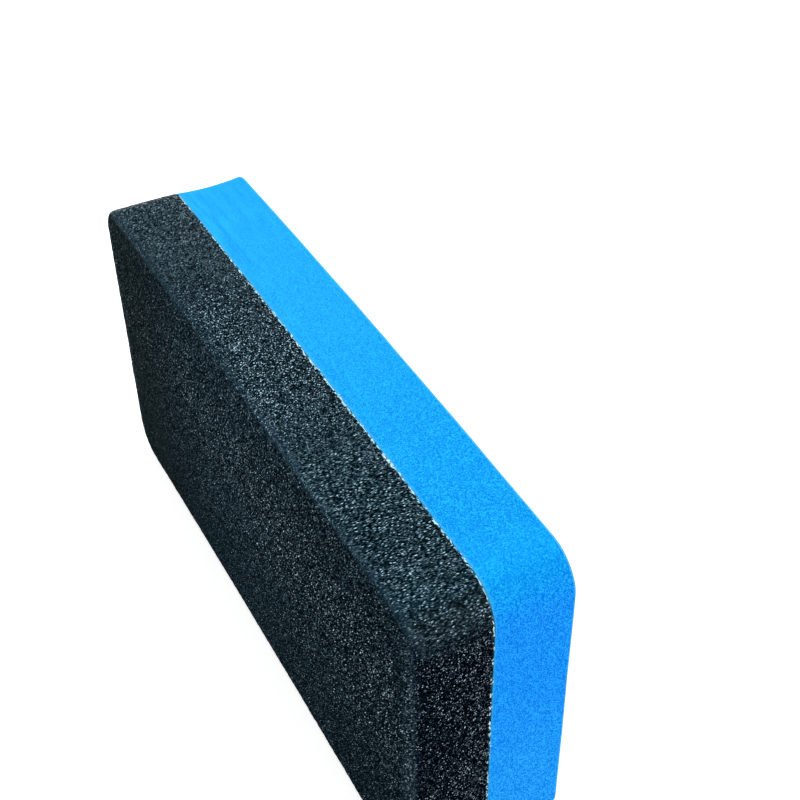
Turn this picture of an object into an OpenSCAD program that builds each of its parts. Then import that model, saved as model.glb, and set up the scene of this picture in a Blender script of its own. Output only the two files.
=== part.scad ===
// Two-layer cleaning sponge: a rectangular block cut from a coarse black foam bonded to a fine blue foam.
// It stands on one long narrow side, with its length along X, its thickness along Y and its width upright.
// The black face looks along -Y and the blue face along +Y. The origin is the middle of the underside.

/* [Block] */
// Length of the block, along X
block_length = 120; // [80:1:180]
// Width of the block, which stands upright along Z
block_width = 60; // [40:1:100]
// Radius of the four corners of the cut outline
corner_radius = 6.5; // [4:0.5:15]

/* [Black foam] */
// Thickness of the coarse black scouring layer
black_thickness = 12.5; // [6:0.5:30]
// Soft rounding where the black face meets the cut sides
black_edge_radius = 1.2; // [0.4:0.1:1.8]

/* [Blue foam] */
// Thickness of the fine blue backing layer
blue_thickness = 13.2; // [6:0.1:30]
// Rounding where the blue face meets the cut sides
blue_edge_radius = 0.5; // [0.2:0.1:1.8]

/* [Glue film] */
// Thickness of the pale film of glue between the layers
glue_thickness = 0.3; // [0.1:0.1:1]

/* [Hidden] */
$fn = 96;
block_thickness = black_thickness + glue_thickness + blue_thickness;
black_face_y = -block_thickness / 2;
blue_face_y = block_thickness / 2;
glue_black_side_y = black_face_y + black_thickness;

// Cross-section of a layer: flat below, with both upper corners rounded
module layer_section(span, thickness, edge_radius) {
    translate([-span / 2, 0])
        square([span, thickness - edge_radius]);
    translate([-span / 2 + edge_radius, 0])
        square([span - 2 * edge_radius, thickness]);
    for (side = [-1, 1])
        translate([side * (span / 2 - edge_radius), thickness - edge_radius])
            circle(r = edge_radius);
}

// Half of the section of a corner, to be turned about the corner's own axis
module corner_section(thickness, edge_radius) {
    square([corner_radius, thickness - edge_radius]);
    square([corner_radius - edge_radius, thickness]);
    translate([corner_radius - edge_radius, thickness - edge_radius])
        circle(r = edge_radius);
}

// One foam layer lying flat: outline in XY, face up at z = thickness, its upper edges rounded
module foam_layer(thickness, edge_radius) {
    corner_x = block_length / 2 - corner_radius;
    corner_y = block_width / 2 - corner_radius;
    rotate([90, 0, 90])
        linear_extrude(height = 2 * corner_x, center = true)
            layer_section(block_width, thickness, edge_radius);
    rotate([90, 0, 0])
        linear_extrude(height = 2 * corner_y, center = true)
            layer_section(block_length, thickness, edge_radius);
    for (x = [-corner_x, corner_x], y = [-corner_y, corner_y])
        translate([x, y, 0])
            rotate_extrude()
                corner_section(thickness, edge_radius);
}

// Outline of the cut block, seen from its face
module block_outline() {
    square([block_length - 2 * corner_radius, block_width], center = true);
    square([block_length, block_width - 2 * corner_radius], center = true);
    for (x = [-1, 1], y = [-1, 1])
        translate([x * (block_length / 2 - corner_radius), y * (block_width / 2 - corner_radius)])
            circle(r = corner_radius);
}

// Coarse open-celled black foam, which scours
module black_foam() {
    color([0.13, 0.15, 0.16])
        translate([0, glue_black_side_y, block_width / 2])
            rotate([90, 0, 0])
                foam_layer(black_thickness, black_edge_radius);
}

// Pale film of glue that bonds the two layers, seen as a thin line along the joint
module glue_film() {
    color([0.72, 0.86, 0.92])
        translate([0, glue_black_side_y + glue_thickness, block_width / 2])
            rotate([90, 0, 0])
                linear_extrude(height = glue_thickness)
                    block_outline();
}

// Fine-celled blue foam, which backs the block and is held in the hand
module blue_foam() {
    color([0.09, 0.58, 0.94])
        translate([0, blue_face_y - blue_thickness, block_width / 2])
            rotate([-90, 0, 0])
                foam_layer(blue_thickness, blue_edge_radius);
}

black_foam();
glue_film();
blue_foam();
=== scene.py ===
import math
import random
from collections import namedtuple
from types import SimpleNamespace

import bmesh
import bpy
import numpy as np
from mathutils import Matrix, Vector, noise


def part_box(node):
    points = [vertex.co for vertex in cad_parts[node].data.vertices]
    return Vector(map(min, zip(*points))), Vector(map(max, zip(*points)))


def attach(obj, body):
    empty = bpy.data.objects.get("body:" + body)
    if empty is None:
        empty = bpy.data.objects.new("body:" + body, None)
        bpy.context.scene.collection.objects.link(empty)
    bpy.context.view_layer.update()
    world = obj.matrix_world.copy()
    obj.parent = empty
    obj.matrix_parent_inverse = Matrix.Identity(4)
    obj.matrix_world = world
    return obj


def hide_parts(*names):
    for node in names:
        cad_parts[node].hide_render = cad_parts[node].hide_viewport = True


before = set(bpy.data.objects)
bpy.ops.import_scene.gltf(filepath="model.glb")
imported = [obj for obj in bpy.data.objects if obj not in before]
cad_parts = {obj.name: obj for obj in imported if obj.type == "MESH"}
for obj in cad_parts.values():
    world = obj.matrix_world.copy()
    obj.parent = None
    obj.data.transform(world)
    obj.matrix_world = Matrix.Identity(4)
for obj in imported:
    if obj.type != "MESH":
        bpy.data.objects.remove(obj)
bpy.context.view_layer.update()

MM = 0.001

# The two foams' places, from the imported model, in millimetres
black_low, black_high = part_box("black_foam")
blue_low, blue_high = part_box("blue_foam")
half_length = black_high.x / MM
width = black_high.z / MM
black_face_y = black_low.y / MM
black_joint_y = black_high.y / MM
blue_joint_y = blue_low.y / MM
blue_face_y = blue_high.y / MM

# Form of the cut block, in millimetres
corner_radius = 6.5
arch_height = 0.9
joint_inset = 0.15
back_reach = 0.02

# The black layer: its edge, its slight belly, its puffed face and its torn rim
black_edge_radius = 1.0
black_belly = 0.08
black_puff = 0.4
puff_depth = 5.0
torn_reach = 0.25
black_step = 0.37

# The blue layer: its edge and its dished side
blue_edge_radius = 0.45
blue_face_inset = 0.2
blue_dish = 0.4
blue_step = 0.6

# The glue film's edge, and the crumbs on it, whose lengths are in thicknesses
glue_step = 0.25
glue_recess = 0.02
glue_lip = 0.10
glue_swell = 0.05
crumb_tries = 460
crumb_seed = 11
crumb_stand = 0.02
crumb_thicknesses = (0.13, 0.32)
crumb_lengths = (1.3, 4.2)
crumb_tilt = 0.35
crumb_lump = 0.3

# Camera, as the photograph was taken
photo_size = 800
sensor_width = 36.0
camera_focal_px = 1410.1
camera_place = Vector((164.47, -68.86, 201.05))
camera_forward = Vector((-0.6749, 0.3527, -0.6481))
camera_roll = math.radians(-0.95)

# Floor and lamp, in millimetres and watts
floor_reach = 3000
key_place = (-540, 280, 560)
key_target = (0, 0, 40)
key_size = 300
key_power = 2.8


# Small helpers

def rough(point, pitch, seed, octaves=2):
    """Noise between about -1 and 1 that changes over a distance of pitch, in millimetres."""
    place = Vector(point) / pitch + Vector((seed * 7.3, seed * 3.1, seed * 5.7))
    return noise.fractal(place, 1.0, 2.0, octaves)


def clamp(value):
    return min(1.0, max(0.0, value))


def arch_rise(x):
    """How far the arched block rises at a place along it."""
    return arch_height * (1 - (x / half_length) ** 2)


def link_object(name, data):
    """A new object in the scene."""
    made = bpy.data.objects.new(name, data)
    bpy.context.scene.collection.objects.link(made)
    return made


def new_object(name, points, faces):
    """A smooth-shaded mesh object in the row frame, from points in millimetres."""
    mesh = bpy.data.meshes.new(name)
    mesh.from_pydata((np.asarray(points, dtype=float) * MM).tolist(), [], faces)
    mesh.update()
    mesh.shade_smooth()
    return link_object(name, mesh)


def vertex_values(mesh, what):
    """The places or normals of a mesh's vertices, one row for each."""
    values = np.empty(len(mesh.vertices) * 3, dtype=np.float32)
    mesh.vertices.foreach_get(what, values)
    return values.reshape(-1, 3).astype(float)


# The outline and the grid that the foam layers are made on

def grid_lines(half, step):
    """Grid lines across the outline: each has a place on the straight part and a share of the corner."""
    straight = half - corner_radius
    in_corner = max(3, round(corner_radius * math.pi / 4 / step))
    in_straight = max(2, round(2 * straight / step))
    corner_shares = np.arange(1, in_corner + 1) / in_corner
    corner_places = np.full(in_corner, straight)
    straight_places = np.linspace(-straight, straight, in_straight + 1)
    places = np.concatenate([-corner_places, straight_places, corner_places])
    shares = np.concatenate([-corner_shares[::-1], np.zeros(in_straight + 1), corner_shares])
    return places, shares


def crossings(line_x, line_z, inset):
    """Where grid lines cross, in the outline drawn in by inset, with its four corners round."""
    radius = corner_radius - inset
    x = line_x[0] + radius * line_x[1] * np.sqrt(1 - line_z[1] ** 2 / 2)
    z = line_z[0] + radius * line_z[1] * np.sqrt(1 - line_x[1] ** 2 / 2)
    return x, z + width / 2


def rim_crossings(last_x, last_z):
    """The grid crossings along the outline, once round."""
    rim = [(i, 0) for i in range(last_x)]
    rim += [(last_x, j) for j in range(last_z)]
    rim += [(i, last_z) for i in range(last_x, 0, -1)]
    rim += [(0, j) for j in range(last_z, 0, -1)]
    return np.array(rim)


# The foam layers

Layer = namedtuple("Layer", "name step face_y joint_y edge_radius puff side_inset relief fray")


def outward_sign(layer):
    """Which way along Y the layer's face looks: 1 or -1."""
    return math.copysign(1, layer.face_y - layer.joint_y)


def side_levels(layer):
    """Levels from the face down to the joint: how far each is in from the outline, and how deep."""
    radius = layer.edge_radius
    side = abs(layer.face_y - layer.joint_y) - radius
    edge_steps = max(4, round(radius * math.pi / 2 / layer.step) + 1)
    side_steps = max(4, round(side / layer.step))
    turns = [math.pi / 2 * k / edge_steps for k in range(1, edge_steps + 1)]
    levels = [(radius * (1 - math.sin(turn)), radius * (1 - math.cos(turn))) for turn in turns]
    return levels + [(0.0, radius + side * k / side_steps) for k in range(1, side_steps + 1)]


def face_grid(layer, lines_x, lines_z):
    """The layer's face: its points, the number of each grid crossing and the faces between them."""
    across_x = [line[:, None] for line in lines_x]
    across_z = [line[None, :] for line in lines_z]
    x, z = crossings(across_x, across_z, layer.edge_radius + layer.side_inset(0))
    points = np.stack([x, np.full_like(x, layer.face_y), z], axis=2).reshape(-1, 3)
    index = np.arange(x.size).reshape(x.shape)
    corners = [index[:-1, :-1], index[1:, :-1], index[1:, 1:], index[:-1, 1:]]
    return points, index, np.stack(corners, axis=2).reshape(-1, 4)


def side_rings(layer, lines_x, lines_z, index):
    """The layer's rounded edge and cut side, ring by ring: their points, their faces and the last ring."""
    rim = rim_crossings(index.shape[0] - 1, index.shape[1] - 1)
    rim_x = [line[rim[:, 0]] for line in lines_x]
    rim_z = [line[rim[:, 1]] for line in lines_z]
    thickness = abs(layer.face_y - layer.joint_y)
    ring = index[rim[:, 0], rim[:, 1]]
    count = index.size
    points = []
    faces = []
    for inset, depth in side_levels(layer):
        x, z = crossings(rim_x, rim_z, inset + layer.side_inset(depth / thickness))
        y = np.full_like(x, layer.face_y - outward_sign(layer) * depth)
        points.append(np.stack([x, y, z], axis=1))
        new_ring = np.arange(count, count + len(rim))
        faces.append(np.stack([np.roll(ring, -1), ring, new_ring, np.roll(new_ring, -1)], axis=1))
        ring = new_ring
        count += len(rim)
    return points, faces, ring


def shape_foam(made, layer, ring, centre):
    """Gives a layer its relief, its puffed face, its torn rim at the joint and the arch."""
    outward = outward_sign(layer)
    places = vertex_values(made.data, "co") / MM
    normals = vertex_values(made.data, "normal")
    depths = np.abs(places[:, 1] - layer.face_y)
    heights = np.array([layer.relief(place) for place in places.tolist()])
    heights[ring] = 0
    heights[centre] = 0
    places += normals * heights[:, None]
    puffed = np.clip((puff_depth - depths) / (puff_depth - layer.edge_radius), 0, 1)
    places[:, 1] += outward * layer.puff * puffed
    places[ring, 1] -= outward * np.array([layer.fray(place) for place in places[ring].tolist()])
    places[:, 2] += arch_rise(places[:, 0])
    made.data.vertices.foreach_set("co", (places * MM).ravel())
    made.data.update()


def foam_layer(layer):
    """One foam layer as a closed mesh: its face, its rounded edge, its cut side and its glued back."""
    lines_x = grid_lines(half_length, layer.step)
    lines_z = grid_lines(width / 2, layer.step)
    face_points, index, face_faces = face_grid(layer, lines_x, lines_z)
    side_points, side_faces, ring = side_rings(layer, lines_x, lines_z, index)

    # The back is glued and hidden: triangles around one point
    centre = int(ring[-1]) + 1
    back_point = np.array([[0, layer.joint_y - outward_sign(layer) * back_reach, width / 2]])
    points = np.concatenate([face_points] + side_points + [back_point])
    faces = np.concatenate([face_faces] + side_faces).tolist()
    faces += [(b, a, centre) for a, b in zip(ring.tolist(), np.roll(ring, -1).tolist())]
    if outward_sign(layer) > 0:
        faces = [face[::-1] for face in faces]
    made = new_object(layer.name, points, faces)
    shape_foam(made, layer, ring, centre)
    return made


def black_side_inset(share):
    """The black side leans in towards the joint, with a slight belly on the way."""
    return joint_inset * share - black_belly * 4 * share * (1 - share)


def blue_side_inset(share):
    """The blue side is dished between the joint and the blue face."""
    return joint_inset * share + blue_face_inset * (1 - share) + blue_dish * 4 * share * (1 - share)


def black_relief(place):
    """Height of the coarse foam's surface: slow swells and the larger torn cells."""
    swells = rough(place, pitch=7, seed=1)
    torn = rough(place, pitch=0.9, seed=2, octaves=3)
    return 0.05 * swells + 0.06 * torn


def blue_relief(place):
    """Height of the fine foam's surface."""
    swells = rough(place, pitch=12, seed=3)
    grain = rough(place, pitch=2, seed=4)
    return 0.05 * swells + 0.01 * grain


def black_fray(place):
    """How far the torn edge of the black foam reaches over the glue, without touching the blue foam."""
    coarse = max(0.0, rough(place, pitch=0.9, seed=5))
    fine = max(0.0, rough(place, pitch=0.5, seed=6))
    return min(0.03 + 0.5 * coarse + 0.25 * fine, torn_reach)


def blue_fray(place):
    """How far the edge of the blue foam reaches over the glue."""
    return 0.03 * abs(rough(place, pitch=0.8, seed=7))


black = foam_layer(Layer(
    name="black_foam_block",
    step=black_step,
    face_y=black_face_y,
    joint_y=black_joint_y,
    edge_radius=black_edge_radius,
    puff=black_puff,
    side_inset=black_side_inset,
    relief=black_relief,
    fray=black_fray,
))
blue = foam_layer(Layer(
    name="blue_foam_block",
    step=blue_step,
    face_y=blue_face_y,
    joint_y=blue_joint_y,
    edge_radius=blue_edge_radius,
    puff=0.0,
    side_inset=blue_side_inset,
    relief=blue_relief,
    fray=blue_fray,
))


# The glue between the layers

def outline_places(shares, inset):
    """Places round the outline drawn in by inset, and the ways outward there. A share of 1 is once round."""
    core_x = half_length - corner_radius
    core_z = width / 2 - corner_radius
    arc = corner_radius * math.pi / 2
    lengths = np.cumsum([0, 2 * core_x, arc, 2 * core_z, arc, 2 * core_x, arc, 2 * core_z, arc])
    along = (np.asarray(shares) % 1) * lengths[-1]
    centre_x = np.interp(along, lengths, [-core_x] + [core_x] * 4 + [-core_x] * 4)
    centre_z = np.interp(along, lengths, [-core_z] * 3 + [core_z] * 4 + [-core_z] * 2)
    turn = np.radians(np.interp(along, lengths, [-90, -90, 0, 0, 90, 90, 180, 180, 270]))
    outward = np.stack([np.cos(turn), np.zeros_like(turn), np.sin(turn)], axis=1)
    x = centre_x + (corner_radius - inset) * np.cos(turn)
    z = centre_z + (corner_radius - inset) * np.sin(turn) + width / 2
    return np.stack([x, np.zeros_like(x), z + arch_rise(x)], axis=1), outward


def glue_ribbon():
    """The glue film's edge: a thin bead that stands out a little in some places and hides in others."""
    count = round(2 * (2 * half_length + width) / glue_step)
    base, outward = outline_places(np.arange(count) / count, joint_inset)
    swell = np.array([rough(place, pitch=2.5, seed=8, octaves=3) for place in base.tolist()])
    rings = []
    for share in (0.0, 0.2, 0.5, 0.8, 1.0):
        depth = glue_recess + glue_lip * (2 * share - 1) ** 4 - glue_swell * swell
        ring = base - outward * depth[:, None]
        ring[:, 1] = black_joint_y + share * (blue_joint_y - black_joint_y)
        rings.append(ring)
    middles = [[0, black_joint_y, width / 2], [0, blue_joint_y, width / 2]]
    points = np.concatenate(rings + [middles])
    index = np.arange(len(rings) * count).reshape(len(rings), count)
    after = np.roll(index, -1, axis=1)
    faces = np.stack([index[:-1], index[1:], after[1:], after[:-1]], axis=2).reshape(-1, 4).tolist()
    faces += [(int(a), int(b), len(points) - 2) for a, b in zip(index[0], after[0])]
    faces += [(int(b), int(a), len(points) - 1) for a, b in zip(index[-1], after[-1])]
    return points.tolist(), faces


def glue_crumb(place, outward, along, length, thickness):
    """One crumb of dried glue on the seam, as points and faces."""
    ball = bmesh.new()
    bmesh.ops.create_icosphere(ball, subdivisions=2, radius=1.0)
    across = Vector((0, 1, 0))
    points = []
    for v in ball.verts:
        lump = 1 + crumb_lump * rough(v.co + place, pitch=0.9, seed=9)
        offset = along * v.co.x * length / 2 + across * v.co.y * thickness / 2
        offset = offset + outward * v.co.z * thickness / 3
        points.append(tuple(place + offset * lump))
    faces = [[v.index for v in face.verts] for face in ball.faces]
    ball.free()
    return points, faces


def crumb_share(place, outward):
    """How many of the tried places get a crumb: most on the ends and midway along, few at the corners."""
    rising = clamp((place.x + 45) / 50)
    falling = clamp((place.x - 35) / 15)
    side_part = max(0.0, abs(outward.z) - 0.3) / 0.7
    end_part = max(0.0, 1 - abs(outward.z) / 0.6)
    return (0.2 + 0.8 * rising - 0.5 * falling) * side_part + 0.95 * end_part


def glue_seam():
    """The glue film's edge with its crumbs, as one piece, and how many faces are the film's."""
    points, faces = glue_ribbon()
    film_faces = len(faces)
    draw = random.Random(crumb_seed)
    for _ in range(crumb_tries):
        base, outward = outline_places([draw.random()], joint_inset - crumb_stand)
        outward = Vector(outward[0])
        along = Vector((-outward.z, 0, outward.x))
        place = Vector(base[0])
        place.y = draw.uniform(black_joint_y - 0.1, blue_joint_y)
        turned = (along + Vector((0, draw.uniform(-crumb_tilt, crumb_tilt), 0))).normalized()
        share = crumb_share(place, outward)
        thinner = (0.6 + 0.4 * share) * (0.9 + 0.1 * abs(outward.z))
        thickness = draw.uniform(*crumb_thicknesses) * thinner
        length = thickness * draw.uniform(*crumb_lengths)
        if draw.random() > share:
            continue
        crumb_points, crumb_faces = glue_crumb(place, outward, turned, length, thickness)
        faces += [[i + len(points) for i in face] for face in crumb_faces]
        points += crumb_points
    return new_object("glue_seam", points, faces), film_faces


seam, seam_film_faces = glue_seam()


# Shader helpers

def set_inputs(tree, made, inputs):
    """Links each input to a socket, or sets it to a value."""
    for key, value in inputs.items():
        if isinstance(value, bpy.types.NodeSocket):
            tree.links.new(value, made.inputs[key])
        else:
            made.inputs[key].default_value = value


def add_node(tree, kind, inputs=None, **settings):
    """A shader node with its settings, and its inputs set or linked."""
    made = tree.nodes.new(kind)
    for name, value in settings.items():
        setattr(made, name, value)
    set_inputs(tree, made, inputs or {})
    return made


def calc(tree, operation, a, b=0.0, c=0.0):
    return add_node(tree, "ShaderNodeMath", {0: a, 1: b, 2: c}, operation=operation).outputs[0]


def times(tree, a, b):
    return calc(tree, "MULTIPLY", a, b)


def raised(tree, value, share, amount):
    """value with share times amount added to it."""
    return calc(tree, "MULTIPLY_ADD", share, amount, value)


def reduced(tree, value, share, amount):
    """value, with this amount of itself taken away where share is 1."""
    return times(tree, value, calc(tree, "MULTIPLY_ADD", share, -amount, 1.0))


def centred(tree, value):
    """A noise from 0 to 1, moved so that it lies about 0."""
    return calc(tree, "SUBTRACT", value, 0.5)


def fade(tree, value, low, high, to_low=0.0, to_high=1.0):
    """A level that goes smoothly from to_low, where value is low, to to_high, where it is high."""
    inputs = {"Value": value, "From Min": low, "From Max": high, "To Min": to_low, "To Max": to_high}
    return add_node(tree, "ShaderNodeMapRange", inputs, interpolation_type="SMOOTHSTEP").outputs[0]


def profile(tree, value, stops):
    """A level that goes smoothly through a few stops, each a value and the level there."""
    level = stops[0][1]
    for (low, from_level), (high, to_level) in zip(stops, stops[1:]):
        level = calc(tree, "ADD", fade(tree, value, low, high, 0.0, to_level - from_level), level)
    return level


def pick(tree, share, a, b):
    """The number a where share is 0, and b where it is 1."""
    return add_node(tree, "ShaderNodeMix", {0: share, 2: a, 3: b}, data_type="FLOAT").outputs[0]


def blend(tree, share, a, b, kind="MIX"):
    """The colour a where share is 0, and b, or b mixed with a in another kind of way, where it is 1."""
    inputs = {0: share, 6: a, 7: b}
    return add_node(tree, "ShaderNodeMix", inputs, data_type="RGBA", blend_type=kind).outputs[2]


def vector_calc(tree, operation, a, b):
    return add_node(tree, "ShaderNodeVectorMath", {0: a, 1: b}, operation=operation).outputs[0]


def scaled(tree, vector, factor):
    inputs = {0: vector, "Scale": factor}
    return add_node(tree, "ShaderNodeVectorMath", inputs, operation="SCALE").outputs[0]


def axes_of(tree, vector):
    made = add_node(tree, "ShaderNodeSeparateXYZ", {0: vector})
    return made.outputs["X"], made.outputs["Y"], made.outputs["Z"]


def facing(tree):
    """The way that the surface faces on the block, along X, Y and Z."""
    return axes_of(tree, add_node(tree, "ShaderNodeTexCoord").outputs["Normal"])


def speckle(tree, place, pitch, detail=2.0, roughness=0.5, seed=0.0, output="Fac"):
    """Soft noise from 0 to 1 that changes over a distance of pitch, in millimetres."""
    inputs = {"Vector": place, "Scale": 1 / pitch, "Detail": detail, "Roughness": roughness, "W": seed}
    return add_node(tree, "ShaderNodeTexNoise", inputs, noise_dimensions="4D").outputs[output]


def warp(tree, place, pitch, amount, seed=0.0):
    """The place shifted by up to about amount, in millimetres, so that a pattern on it curls."""
    shift = speckle(tree, place, pitch, detail=0.0, seed=seed, output="Color")
    shift = vector_calc(tree, "SUBTRACT", shift, (0.5, 0.5, 0.5))
    return vector_calc(tree, "ADD", place, scaled(tree, shift, amount * 4))


def empty_tree(owner):
    """The shader nodes of a material or world, with none in them yet."""
    owner.use_nodes = True
    owner.node_tree.nodes.clear()
    return owner.node_tree


def new_material(name):
    """An empty material with its shader, and the place on the block in millimetres."""
    material = bpy.data.materials.new(name)
    tree = empty_tree(material)
    shader = add_node(tree, "ShaderNodeBsdfPrincipled")
    add_node(tree, "ShaderNodeOutputMaterial", {"Surface": shader.outputs[0]})
    place = scaled(tree, add_node(tree, "ShaderNodeTexCoord").outputs["Object"], 1 / MM)
    return material, tree, shader, place


def bumped(tree, height, strength, distance):
    """A surface roughened by height, where 1 stands up by distance, in millimetres."""
    inputs = {"Height": height, "Strength": strength, "Distance": distance * MM}
    return add_node(tree, "ShaderNodeBump", inputs).outputs[0]


# The black foam's cells

def random_cells(tree, place, pitch, randomness):
    """Cells of about this pitch: the distance from each one's middle, and a random number for each."""
    inputs = {"Vector": place, "Scale": 1 / pitch, "Randomness": randomness}
    found = add_node(tree, "ShaderNodeTexVoronoi", inputs, feature="F1")
    draw = add_node(tree, "ShaderNodeSeparateColor", {0: found.outputs["Color"]}).outputs[0]
    return found.outputs["Distance"], draw


def torn_cells(tree, place, turn, drawn, pitch, darkest, strut_power, grit_power, evenness=0.0):
    """Open cells drawn out along turned axes: how strongly each place stands out, and the cells' middles.

    darkest is how far from a cell's middle the dark ground begins. An evenness above 0 makes the cells
    more alike, and one below 0 leaves some of them dark."""
    inputs = {"Vector": place, "Rotation": turn, "Scale": drawn}
    laid = add_node(tree, "ShaderNodeMapping", inputs, vector_type="TEXTURE").outputs[0]
    distance, draw = random_cells(tree, laid, pitch, randomness=0.9)
    bright = calc(tree, "MAXIMUM", calc(tree, "MULTIPLY_ADD", draw, 1 - evenness, evenness), 0.0)
    middles = fade(tree, distance, 0.1, darkest, 1.0, 0.0)
    struts = calc(tree, "POWER", times(tree, middles, bright), 0.7)
    power = times(tree, calc(tree, "SUBTRACT", struts, 0.25), strut_power)
    grit = speckle(tree, laid, 0.19, detail=1.0, seed=1.0)
    return raised(tree, power, centred(tree, grit), grit_power), middles


def glints(tree, place):
    """Painted glints: a few struts painted pale as if they catch the light, as round spots far apart."""
    distance, draw = random_cells(tree, place, 1.3, randomness=1.0)
    spot = fade(tree, distance, 0.05, 0.17, 1.0, 0.0)
    return times(tree, spot, fade(tree, draw, 0.5, 0.9))


# The black foam's zones: places are in millimetres along the block, from its far end at -60 to its near end

def black_zones(tree, place):
    """Where each place on the black foam lies: its distances, and its shares in the zones."""
    along, y, z = axes_of(tree, place)
    normal_x, _, normal_z = facing(tree)
    upright = calc(tree, "ABSOLUTE", normal_z)
    endways = calc(tree, "ABSOLUTE", normal_x)

    # In from the face, and in from the arched long sides
    off_face = calc(tree, "SUBTRACT", y, black_face_y - black_puff)
    arch_bend = -arch_height / half_length ** 2
    arch = calc(tree, "MULTIPLY_ADD", times(tree, along, along), arch_bend, arch_height + width / 2)
    off_middle = calc(tree, "ABSOLUTE", calc(tree, "SUBTRACT", z, arch))
    off_side = calc(tree, "SUBTRACT", width / 2, off_middle)

    # The cut surfaces, and the long sides' look: their grain with painted light as if lit from above, which
    # begins on the face a little below the crease as a painted soft light and ends on the upper ends
    cut = fade(tree, off_face, 0.15, 1.0)
    across = calc(tree, "MULTIPLY_ADD", off_side, -0.33, off_face)
    side_look_edge = profile(tree, along, ((-55, -0.4), (-25, -0.18), (30, -0.12), (50, 0.05)))
    softness = fade(tree, along, 30, 55, 0.35, 0.65)
    passed = calc(tree, "DIVIDE", calc(tree, "SUBTRACT", across, side_look_edge), softness)
    low_end = times(tree, fade(tree, endways, 0.4, 1.0), fade(tree, off_middle, 21, 29, 1.0, 0.0))
    side = times(tree, fade(tree, passed, -1.0, 1.0), calc(tree, "SUBTRACT", 1.0, low_end))

    # Painted highlight on the upright edges between the face and the ends
    off_centre = calc(tree, "ABSOLUTE", along)
    edge_highlight = times(tree, fade(tree, off_centre, 56.8, 58.8), fade(tree, off_face, 0.3, 1.6, 1.0, 0.0))

    return SimpleNamespace(
        along=along,
        height=z,
        off_face=off_face,
        normal_x=normal_x,
        upright=upright,
        endways=endways,
        cut=cut,
        long_side=times(tree, fade(tree, upright, 0.0, 0.85), cut),
        side=side,
        low_end=low_end,
        # The strip along the crease: calmer grain, and painted soft light there
        calm_painted_crease_light=times(tree, side, fade(tree, across, 0.6, 2.0, 1.0, 0.0)),
        edge_highlight=edge_highlight,
    )


def by_zone(tree, zones, face, end, side):
    """A number that differs between the face, the ends and the long sides."""
    return pick(tree, zones.side, pick(tree, zones.cut, face, end), side)


def side_pattern(tree, zones, curled):
    """The long sides' cells, which lie another way at the far end, midway and at the near end."""
    powers = {"strut_power": 5.2, "grit_power": 9.0}
    far = torn_cells(tree, curled, (0, 0, 0.84), (1, 1.7, 1), pitch=0.40, darkest=0.62, **powers)
    mid = torn_cells(tree, curled, (0, 0, 0.4), (1, 1.3, 1), pitch=0.28, darkest=0.60, **powers)
    near = torn_cells(tree, curled, (0, 0, 0), (1, 2.5, 1), pitch=0.22, darkest=0.67, **powers)
    to_mid = fade(tree, zones.along, -50, -15)
    to_near = fade(tree, zones.along, 5, 38)
    return [pick(tree, to_near, pick(tree, to_mid, a, b), c) for a, b, c in zip(far, mid, near)]


def black_pattern(tree, zones, place, patches):
    """How strongly each place stands out, dark or pale, and the middles of the cells."""
    curled = warp(tree, place, pitch=0.9, amount=0.10, seed=11.0)
    face = torn_cells(
        tree, curled, turn=(0, 0.66, 0), drawn=(1, 1, 4.0), pitch=0.22, darkest=0.66,
        strut_power=3.4, grit_power=12.5, evenness=0.35,
    )
    end = torn_cells(
        tree, curled, turn=(-0.93, 0, 0), drawn=(1, 1, 1.2), pitch=0.25, darkest=0.60,
        strut_power=4.7, grit_power=9.5, evenness=-0.5,
    )
    side = side_pattern(tree, zones, curled)
    power, middles = [by_zone(tree, zones, *values) for values in zip(face, end, side)]
    patch_power = calc(tree, "MULTIPLY_ADD", zones.long_side, 0.5, 0.1)
    power = raised(tree, power, centred(tree, patches), patch_power)
    glint_power = pick(tree, zones.long_side, pick(tree, zones.cut, 2.6, 5.0), 3.6)
    return raised(tree, power, glints(tree, curled), glint_power), middles


# The black foam's brightness, on a scale of powers, and its tints

def black_spread(tree, zones):
    """How far the dark and the pale places lie apart."""
    face = profile(tree, zones.along, ((-55, 0.68), (-10, 1.0), (50, 1.18)))
    # The face's contrast changes with height, lowest near its bottom
    height_spread = profile(tree, zones.height, ((5, 0.66), (25, 0.82), (42, 0.97), (56, 0.8)))
    face = reduced(tree, times(tree, face, height_spread), fade(tree, zones.along, 53, 58), 0.2)
    end = fade(tree, zones.off_face, 0.5, 3.5, 1.0, 1.4)
    side = profile(tree, zones.along, ((-55, 0.62), (-5, 1.12), (18, 1.18), (45, 0.97), (58, 0.80)))
    return reduced(tree, by_zone(tree, zones, face, end, side), zones.calm_painted_crease_light, 0.35)


def black_level(tree, zones):
    """The middle brightness of each zone: the long sides brighter than the ends, as painted light from
    above, with painted light and shade round their turns, painted soft light along the crease and a painted
    highlight on the upright edges.
    """
    face = profile(tree, zones.along, ((-55, -4.27), (0, -4.17), (50, -4.5)))
    end = pick(tree, zones.long_side, -4.8, face)
    side = profile(tree, zones.along, ((-55, -3.82), (0, -3.83), (18, -3.72), (45, -3.92), (58, -3.6)))
    # Painted light where the long sides turn away from the top, and painted shade as they turn towards the
    # ends and on the lower ends
    side = calc(tree, "ADD", side, fade(tree, zones.upright, 0.4, 1.0, 0.8, 0.0))
    side = calc(tree, "ADD", side, fade(tree, zones.normal_x, 0.2, 0.75, 0.0, -0.25))
    side = raised(tree, side, zones.low_end, -0.9)
    # Painted soft light along the crease, and a painted highlight on the upright edges
    side = raised(tree, side, zones.calm_painted_crease_light, fade(tree, zones.along, 0, 15, 0.2, 0.5))
    return raised(tree, by_zone(tree, zones, face, end, side), zones.edge_highlight, 0.8)


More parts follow.
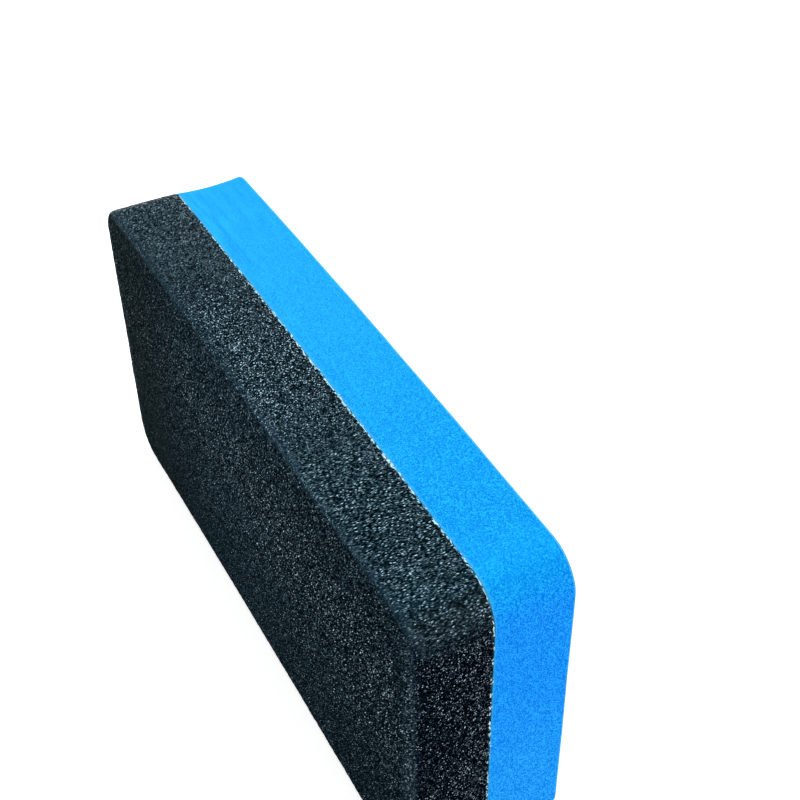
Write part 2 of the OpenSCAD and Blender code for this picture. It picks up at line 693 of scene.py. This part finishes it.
def black_tint(tree, zones, power):
    """The tint of each place: bluish where it is dark, and nearly grey where it is pale."""
    far_face = (0.52, 1.0, 1.12, 1)
    near_face = (0.38, 1.0, 1.5, 1)
    low_cut = (0.30, 1.0, 2.0, 1)
    lit_side = (0.15, 1.0, 1.62, 1)
    upper_end = (0.52, 1.0, 1.35, 1)
    face_pale = (0.80, 1.0, 1.14, 1)
    side_pale = (0.66, 1.0, 1.2, 1)
    dark = blend(tree, fade(tree, zones.along, -50, -15), far_face, near_face)
    dark = blend(tree, zones.cut, dark, low_cut)
    # Painted light: the long sides take a tint as if lit from above, reaching round onto the upper ends
    lit = times(tree, zones.side, fade(tree, zones.upright, 0.2, 0.9, 0.1, 1.0))
    dark = blend(tree, reduced(tree, lit, zones.calm_painted_crease_light, 0.35), dark, lit_side)
    on_end = times(tree, zones.side, fade(tree, zones.endways, 0.2, 0.8))
    dark = blend(tree, on_end, dark, upper_end)
    pale = blend(tree, zones.side, face_pale, side_pale)
    return blend(tree, fade(tree, power, -5.0, -0.8), dark, pale)


def black_material():
    """Coarse open-cell foam: dark cells, pale struts, a few painted glints, and painted light on the long
    sides.
    """
    material, tree, shader, place = new_material("black_open_cell_foam")
    zones = black_zones(tree, place)
    patches = speckle(tree, place, 2.4, detail=1.0, seed=2.0)
    pattern, middles = black_pattern(tree, zones, place, patches)
    power = calc(tree, "MULTIPLY_ADD", pattern, black_spread(tree, zones), black_level(tree, zones))
    light = calc(tree, "MINIMUM", calc(tree, "EXPONENT", power), 0.8)
    gloss = fade(tree, power, -5.0, -2.2, 0.0, 0.20)
    set_inputs(tree, shader, {
        "Base Color": scaled(tree, black_tint(tree, zones, power), light),
        "Roughness": 0.4,
        "Specular IOR Level": times(tree, gloss, zones.cut),
        "Specular Tint": (0.35, 0.85, 1.0, 1),
        "Normal": bumped(tree, raised(tree, middles, patches, 0.5), strength=1.0, distance=0.07),
    })
    return material


# The blue foam, in the same millimetres along the block

def blue_mottle(tree, place, end_share, fine):
    """How pale each place is, from about 0 to 1: fine grain, faint cutting streaks and slow clouds."""
    along, y, _ = axes_of(tree, place)
    grain = profile(tree, along, ((-55, 0.7), (-5, 1.8), (42, 2.5), (53, 1.7)))
    grain = raised(tree, grain, end_share, 2.7)
    share = fade(tree, along, -20, 45, 0.5, 0.4)
    share = raised(tree, share, centred(tree, fine), grain)
    drawn_out = vector_calc(tree, "MULTIPLY", place, (1 / 9.0, 1.0, 1.0))
    streaks = speckle(tree, drawn_out, 0.8, detail=1.0, seed=6.0)
    near_joint = fade(tree, y, 1.0, 5.0, 1.9, 1.0)
    streak_share = times(tree, fade(tree, along, -50, 0, 0.4, 0.12), near_joint)
    share = raised(tree, share, centred(tree, streaks), streak_share)
    slow = speckle(tree, place, 5.0, detail=1.0, seed=4.0)
    return raised(tree, share, centred(tree, slow), 0.08)


def blue_colour(tree, place, end_share, mottle):
    """The even blue of the cut side, with painted light on the ends, brighter towards their bottom, and
    painted light lifting the near corner.
    """
    far_dark = (0.006, 0.25, 0.72, 1)
    near_dark = (0.0, 0.215, 0.72, 1)
    far_pale = (0.018, 0.46, 1.0, 1)
    near_pale = (0.014, 0.50, 1.0, 1)
    low_end = (2.4, 1.05, 1.2, 1)
    high_end = (1.3, 0.9, 1.18, 1)
    painted_corner_lift = (1.0, 1.12, 1.14, 1)
    along, _, z = axes_of(tree, place)
    to_near = fade(tree, along, -30, 45)
    dark = blend(tree, to_near, far_dark, near_dark)
    pale = blend(tree, to_near, far_pale, near_pale)
    colour = blend(tree, fade(tree, mottle, 0.1, 0.9), dark, pale)
    # Painted light on the ends: a tint that is brighter towards their bottom
    painted_end_light = blend(tree, fade(tree, z, 5, 45), low_end, high_end)
    colour = blend(tree, end_share, colour, painted_end_light, "MULTIPLY")
    # Painted light lifting the near corner of the cut side, where less light falls
    corner_lift_share = calc(tree, "SUBTRACT", fade(tree, along, 47, 57), end_share)
    corner_lift_share = calc(tree, "MAXIMUM", corner_lift_share, 0.0)
    return blend(tree, corner_lift_share, colour, painted_corner_lift, "MULTIPLY")


def blue_edges(tree, place, end_share, colour):
    """The colour with a painted highlight along the outer edge, and a painted highlight on the lip where the
    side meets the glue.
    """
    painted_rim_highlight = (0.25, 0.72, 1.0, 1)
    painted_lip_highlight = (0.09, 0.62, 1.0, 1)
    _, y, _ = axes_of(tree, place)
    # Painted highlight along the outer edge
    rim = fade(tree, y, blue_face_y - 0.5, blue_face_y - 0.3)
    off_face = fade(tree, y, blue_face_y - 0.15, blue_face_y - 0.02, 1.0, 0.0)
    rim = times(tree, times(tree, rim, off_face), 0.4)
    colour = blend(tree, rim, colour, painted_rim_highlight)
    # Painted highlight on the lip by the glue, fainter on the ends
    lip_highlight = fade(tree, y, blue_joint_y + 0.05, blue_joint_y + 0.6, 1.0, 0.0)
    lip_highlight = times(tree, lip_highlight, fade(tree, end_share, 0.1, 0.9, 0.45, 0.1))
    return blend(tree, lip_highlight, colour, painted_lip_highlight)


def blue_material():
    """Fine closed foam: an even blue with a soft mottle, faint cutting streaks, a painted highlight along
    the outer edge and by the joint, and painted light on the ends and the near corner.
    """
    material, tree, shader, place = new_material("blue_fine_foam")
    endways = calc(tree, "ABSOLUTE", facing(tree)[0])
    end_share = calc(tree, "POWER", endways, 5.0)
    fine = speckle(tree, place, 0.17, detail=0.5, roughness=0.6, seed=3.0)
    mottle = blue_mottle(tree, place, end_share, fine)
    colour = blue_colour(tree, place, end_share, mottle)
    set_inputs(tree, shader, {
        "Base Color": blue_edges(tree, place, end_share, colour),
        "Roughness": 0.8,
        "Specular IOR Level": 0.03,
        "Normal": bumped(tree, fine, strength=0.6, distance=0.08),
    })
    return material


# The glue's two finishes

def film_material():
    """Dried glue in the joint: pale in streaks on the long sides and dark teal between them; the ends stay
    dark teal as painted shade.
    """
    material, tree, shader, place = new_material("glue_film")
    upright = calc(tree, "ABSOLUTE", facing(tree)[2])
    streaks = speckle(tree, place, 1.1, detail=2.0, roughness=0.6, seed=7.0)
    # The pale streaks show only on the long sides; the ends are left dark as painted shade
    pale = times(tree, fade(tree, streaks, 0.43, 0.55), fade(tree, upright, 0.5, 0.95))
    dark_glue_and_shade = (0.008, 0.085, 0.14, 1)
    dried = (0.46, 0.84, 0.98, 1)
    set_inputs(tree, shader, {
        "Base Color": blend(tree, pale, dark_glue_and_shade, dried),
        "Roughness": 0.8,
        "Specular IOR Level": 0.03,
    })
    return material


def crumb_material():
    """Crumbs of dried glue: near white, faintly blue."""
    material, tree, shader, place = new_material("glue_crumbs")
    shaded = (0.24, 0.52, 0.64, 1)
    bright = (0.68, 0.92, 0.98, 1)
    tone = speckle(tree, place, 0.5, detail=1.0, seed=8.0)
    set_inputs(tree, shader, {
        "Base Color": blend(tree, fade(tree, tone, 0.35, 0.65), shaded, bright),
        "Roughness": 0.35,
        "Specular IOR Level": 0.3,
    })
    return material


black.data.materials.append(black_material())
blue.data.materials.append(blue_material())
seam.data.materials.append(film_material())
seam.data.materials.append(crumb_material())
for face in seam.data.polygons:
    face.material_index = 0 if face.index < seam_film_faces else 1

for piece, node_name in ((black, "black_foam"), (blue, "blue_foam"), (seam, "glue_film")):
    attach(piece, "root")
    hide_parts(node_name)


# Floor, light and camera

def seen_directly(tree):
    """1 for what the camera sees, straight, mirrored or through glass, and 0 for light on its way."""
    path = add_node(tree, "ShaderNodeLightPath")
    direct = calc(tree, "MAXIMUM", path.outputs["Is Camera Ray"], path.outputs["Is Transmission Ray"])
    return calc(tree, "MAXIMUM", direct, path.outputs["Is Glossy Ray"])


def floor_material():
    """White to the camera, with the block's shadow kept: a lit surface plus a little light of its own."""
    material = bpy.data.materials.new("white_floor")
    tree = empty_tree(material)
    paint = add_node(tree, "ShaderNodeBsdfDiffuse", {"Color": (0.85, 0.85, 0.85, 1)})
    own = add_node(tree, "ShaderNodeEmission", {"Color": (1, 1, 1, 1), "Strength": 0.55})
    both = add_node(tree, "ShaderNodeAddShader", {0: paint.outputs[0], 1: own.outputs[0]})
    inputs = {0: seen_directly(tree), 1: paint.outputs[0], 2: both.outputs[0]}
    shown = add_node(tree, "ShaderNodeMixShader", inputs)
    add_node(tree, "ShaderNodeOutputMaterial", {"Surface": shown.outputs[0]})
    return material


def make_floor():
    reach = floor_reach
    corners = [(-reach, -reach, 0), (reach, -reach, 0), (reach, reach, 0), (-reach, reach, 0)]
    floor = new_object("floor", corners, [(0, 1, 2, 3)])
    floor.data.materials.append(floor_material())


def make_world():
    """Plain soft light from all round, and a white background."""
    world = bpy.data.worlds.new("studio")
    bpy.context.scene.world = world
    tree = empty_tree(world)
    around = add_node(tree, "ShaderNodeBackground", {"Color": (1, 1, 1, 1), "Strength": 0.98})
    behind = add_node(tree, "ShaderNodeBackground", {"Color": (1, 1, 1, 1), "Strength": 1.0})
    inputs = {0: seen_directly(tree), 1: around.outputs[0], 2: behind.outputs[0]}
    shown = add_node(tree, "ShaderNodeMixShader", inputs)
    add_node(tree, "ShaderNodeOutputWorld", {"Surface": shown.outputs[0]})


def make_lamp():
    """A square lamp behind the block and to the left, aimed at it."""
    data = bpy.data.lights.new("key", "AREA")
    data.shape = "SQUARE"
    data.size = key_size * MM
    data.energy = key_power
    lamp = link_object("key", data)
    lamp.location = Vector(key_place) * MM
    lamp.rotation_mode = "QUATERNION"
    lamp.rotation_quaternion = (Vector(key_target) - Vector(key_place)).to_track_quat("-Z", "Y")


def make_camera():
    """The photograph's camera: its place, its aim and its focal length in pixels."""
    data = bpy.data.cameras.new("camera")
    data.sensor_width = sensor_width
    data.lens = camera_focal_px / photo_size * sensor_width
    data.clip_start = 0.01
    data.clip_end = 20
    camera = link_object("camera", data)
    level = camera_forward.to_track_quat("-Z", "Y")
    roll = Matrix.Rotation(-camera_roll, 4, camera_forward)
    camera.matrix_world = Matrix.Translation(camera_place * MM) @ roll @ level.to_matrix().to_4x4()
    bpy.context.scene.camera = camera


make_floor()
make_world()
make_lamp()
make_camera()
bpy.context.scene.view_settings.view_transform = "Standard"
